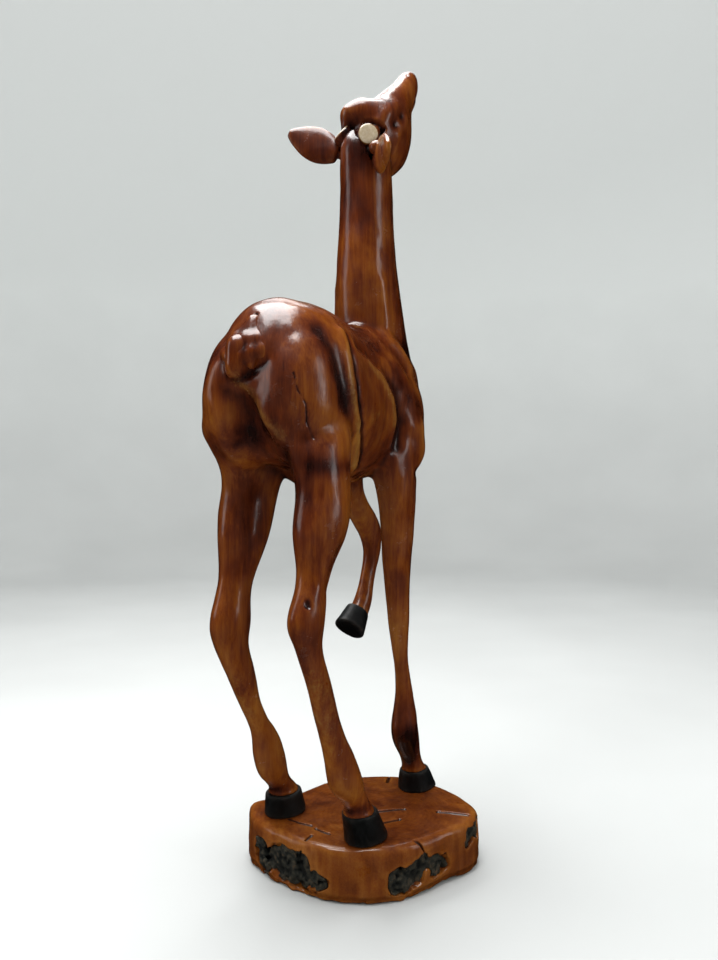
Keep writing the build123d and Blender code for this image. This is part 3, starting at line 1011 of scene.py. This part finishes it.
# Cuts between the hairs: line, width and depth.
TAIL_CUTS = [
    ([(-114, 8, 352), (-116, 12, 338)], 1.0, 0.8),
    ([(-116, 3, 350), (-119, 5, 333)], 1.0, 0.9),
    ([(-115, -4, 350), (-118, -2, 334)], 1.0, 0.8),
    ([(-112, -10, 352), (-113, -10, 340)], 1.0, 0.8),
]
TAIL_BLEND = 3.0  # how softly the locks join each other
TAIL_BAND = 16  # cells of distance around them
TAIL_ROOM = (2.6, 1.3, 1.6)  # room for the locks, as shares of the CAD tail's size


def make_tail():
    """The tuft: locks of carved hair that lie on the rump."""
    points, triangles = mesh_arrays("tail")
    middle = np.array(middle_of("tail"))
    room = ((points - middle) * TAIL_ROOM + middle).astype(np.float32)
    field = Field([(room, triangles)], SMALL_VOXEL, TAIL_BAND)
    field.cells[:] = TAIL_BAND * SMALL_VOXEL
    for line, radii in TAIL_LOCKS:
        field.join_smooth(route(line), [r * MM for r in radii], TAIL_BLEND * MM)
    for line, width, depth in TAIL_CUTS:
        field.stroke(route(line), width, -depth, sharp=True)
    field.roughen(4, 60, 0.2)
    small_piece(field, "tail_look", ["tail"], STAINED)


# Drying checks in the plinth's top, (x, y) in millimetres, with width and depth.
PLINTH_CHECKS = [
    ([(-10, -2), (-17, -9), (-24, -15)], 1.6, 5), ([(-22, 11), (-26, 5), (-29, 1)], 1.6, 4),
    ([(-46, -24), (-56, -27), (-66, -30)], 1.8, 6), ([(36, 41), (26, 42), (17, 41)], 1.2, 3),
    ([(12, 43), (6, 44), (0, 44)], 1.2, 3), ([(40, -20), (52, -26)], 1.4, 4),
    ([(10, -50), (14, -60)], 1.6, 4),
]
# Cracks over its rounded edge, (x, y, height), with width and depth.
EDGE_CRACKS = [
    ([(9, 52, 35), (9, 58, 34), (10, 62, 28), (13, 62, 22)], 1.3, 3),
    ([(-52, 22, 35), (-55, 20, 31), (-58, 17, 22)], 1.3, 3),
]
# Bark patches: places on the plinth's side, (x, y, height), and the reach of each lobe.
BARK_LOBES = {
    "bark_rear": [
        ((46, 58, 13), 12), ((30, 62, 16), 13), ((12, 62, 14), 12), ((-2, 62, 12), 9),
    ],
    "bark_right": [((-48, 36, 12), 9), ((-56, 24, 17), 9), ((-64, 9, 15), 10)],
    "bark_right_front": [((-70, -22, 25), 7), ((-71, -33, 27), 7)],
}
BARK_SUNK = 1.3  # how far the bark lies below the wood around it
BARK_GAP = 0.5  # between the bark and its pocket's edge
PEG_PLUG, PEG_TIP = 5, 3.6  # radii of the bars that close a peg's bore, the second at its mouth
PLINTH_BAND = 14  # cells of distance around the plinth
SIDE_RUN = 7  # the side's roughness is full this far below the top
SIDE_OUT = 1.2  # how far the side is moved out, for hollows to cut into
FOOT_RISE = 3  # and the height up to which it isn't
CHIP_DEPTH, CHIP_REACH, CHIP_HEIGHT = 1.3, 3, 1  # chips along the foot
CHIP_LEAST = 0.25  # weaker noise leaves the foot whole


def make_plinth():
    """The log slice with chipped edges and drying checks, and rough bark in its side."""
    names = ["base_block", *BARK_LOBES]
    slab = Field([mesh_arrays(name) for name in names], SMALL_VOXEL, band=PLINTH_BAND)
    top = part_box("base_block")[1].z
    for name in PEGS:
        x, y = middle_of(name).xy
        bottom = (x, y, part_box(name)[0].z + 2 * MM)
        slab.join([bottom, (x, y, top - 5.2 * MM)], PEG_PLUG * MM)
        slab.join([(x, y, top - PEG_TIP * MM)], PEG_TIP * MM)
    slab.cells = slab.blurred(2)
    z = slab.axis(2)
    side = np.clip((top - z) / (SIDE_RUN * MM), 0, 1)
    rise = np.clip((z - FOOT_RISE * MM) / (FOOT_RISE * MM), 0, 1)
    slab.cells -= side * SIDE_OUT * MM * rise
    slab.roughen(17, 70, 0.9, (1, 1, 2.4), side)
    slab.roughen(6, 71, 0.4, (1, 1, 1.5), side)
    slab.roughen(9, 72, 0.25)
    chips = np.clip(slab.noise(5, 73), CHIP_LEAST, 1) - CHIP_LEAST
    foot = np.exp(-((z - CHIP_HEIGHT * MM) / (CHIP_REACH * MM)) ** 2)
    slab.cells += chips * foot * CHIP_DEPTH * MM
    slab.cells = np.maximum(slab.cells, -z).astype(np.float32)
    for line, width, depth in PLINTH_CHECKS:
        slab.stroke([(x * MM, y * MM, top) for x, y in line], width, -depth, sharp=True)
    for line, width, depth in EDGE_CRACKS:
        slab.stroke([(x * MM, y * MM, h * MM) for x, y, h in line], width, -depth, sharp=True)
    whole = slab.cells.copy()
    places = tuple(slab.axis(i) for i in range(3))
    ragged = slab.noise(3.5, 74) * 1.8 * MM + slab.noise(8, 75, (1, 1, 0.8)) * 4.5 * MM
    rugged = slab.noise(2.4, 76) * 1.1 * MM + slab.noise(6, 77, (1, 1, 2)) * 1.5 * MM
    for name, lobes in BARK_LOBES.items():
        patch = None
        for (x, y, h), reach in lobes:
            gap = line_distance(places, [(x * MM, y * MM, h * MM)]) - reach * MM
            patch = gap if patch is None else np.minimum(patch, gap)
        patch = patch + ragged
        skin = slab.like(np.maximum(whole + BARK_SUNK * MM + rugged, patch + BARK_GAP * MM))
        small_piece(skin, name + "_look", [name], BARK, 0)
        slab.cells = np.maximum(slab.cells, -patch).astype(np.float32)
    small_piece(slab, "base_block_look", ["base_block"], PLINTH, 0)


def make_pegs():
    """Pegs and dowels, hidden in the wood."""
    for name in DOWELS + PEGS:
        field = Field([mesh_arrays(name)], SMALL_VOXEL)
        field.roughen(4, 80, 0.05)
        small_piece(field, name + "_look", [name], PEG)


make_figure()
make_hooves()
make_ossicones()
make_ears()
make_tail()
make_plinth()
make_pegs()


# ---- stage, light and camera ----
def make_stage():
    """A pale floor that curves up into a round backdrop."""
    turns, steps = 96, 12
    hub, flat, radius, curve, height = 0.02, 0.6, 2.6, 1.0, 3.0
    profile = [(hub, 0.0), (flat, 0.0), (radius - curve, 0.0)]
    for step in range(1, steps + 1):
        angle = math.pi / 2 * step / steps
        profile.append((radius - curve + curve * math.sin(angle), curve * (1 - math.cos(angle))))
    profile.append((radius, height))
    points, faces = [], []
    for turn in range(turns):
        angle = 2 * math.pi * turn / turns
        for r, z in profile:
            points.append((r * math.cos(angle), r * math.sin(angle), z))
    count = len(profile)
    for turn in range(turns):
        following = (turn + 1) % turns
        for step in range(count - 1):
            a, b = turn * count + step, following * count + step
            faces.append((a, b, b + 1, a + 1))
    faces.append(tuple(turn * count for turn in reversed(range(turns))))
    mesh = bpy.data.meshes.new("stage")
    mesh.from_pydata(points, [], faces)
    mesh.shade_smooth()
    finish = Finish("stage_paper")
    cloud = finish.noise(3, 3, 0.5)
    height = finish.add("ShaderNodeSeparateXYZ", {0: finish.space}).outputs["Z"]
    # Painted shade: the paper is darker on the floor than up the backdrop, to hold down the
    # strongly lit floor, with faint clouds.
    shade = finish.sum((height, 0.35), (cloud, 0.1), start=0.3)
    finish.set(
        Base_Color=finish.ramp(shade, [(0.3, (0.45, 0.46, 0.455)), (0.7, (0.84, 0.86, 0.85))]),
        Roughness=0.9, Specular_IOR_Level=0.1,
    )
    mesh.materials.append(finish.material)
    stage = show("stage", mesh)
    stage.visible_glossy = False


def softbox(name, place, target, width, height, power):
    """A soft rectangular light."""
    light = bpy.data.lights.new(name, "AREA")
    light.shape = "RECTANGLE"
    light.size, light.size_y, light.energy = width, height, power
    lamp = show(name, light)
    lamp.location = place
    lamp.rotation_euler = (Vector(target) - Vector(place)).to_track_quat("-Z", "Y").to_euler()


CAMERA_PLACE = (-0.278, 0.4524, 0.269)
CAMERA_TURN = 212.0  # degrees about the upright axis
CAMERA_LENS = 28.0

make_stage()
softbox("top_light", (0.16, 0.14, 1.3), (0.0, 0.05, 0.35), 0.9, 0.75, 23)
softbox("left_light", (1.1, 0.9, 0.8), (0, 0, 0.3), 0.5, 0.9, 2.2)
softbox("right_light", (-1.3, -0.3, 0.7), (0, 0, 0.3), 0.3, 1.0, 2.5)
softbox("front_light", (0.6, -0.9, 1.6), (0, 0, 0.35), 0.9, 0.6, 5)

world = bpy.data.worlds.new("studio")
world.use_nodes = True
background = world.node_tree.nodes["Background"]
background.inputs["Color"].default_value = (1, 1, 1, 1)
background.inputs["Strength"].default_value = 1.0
world.cycles_visibility.glossy = False
bpy.context.scene.world = world
bpy.context.scene.view_settings.view_transform = "Standard"

camera = show("camera", bpy.data.cameras.new("camera"))
camera.data.lens = CAMERA_LENS
camera.data.sensor_width = 36.0
camera.data.sensor_fit = "AUTO"
camera.data.clip_start = 0.01
camera.location = CAMERA_PLACE
camera.rotation_euler = (math.pi / 2, 0, math.radians(CAMERA_TURN))
bpy.context.scene.camera = camera
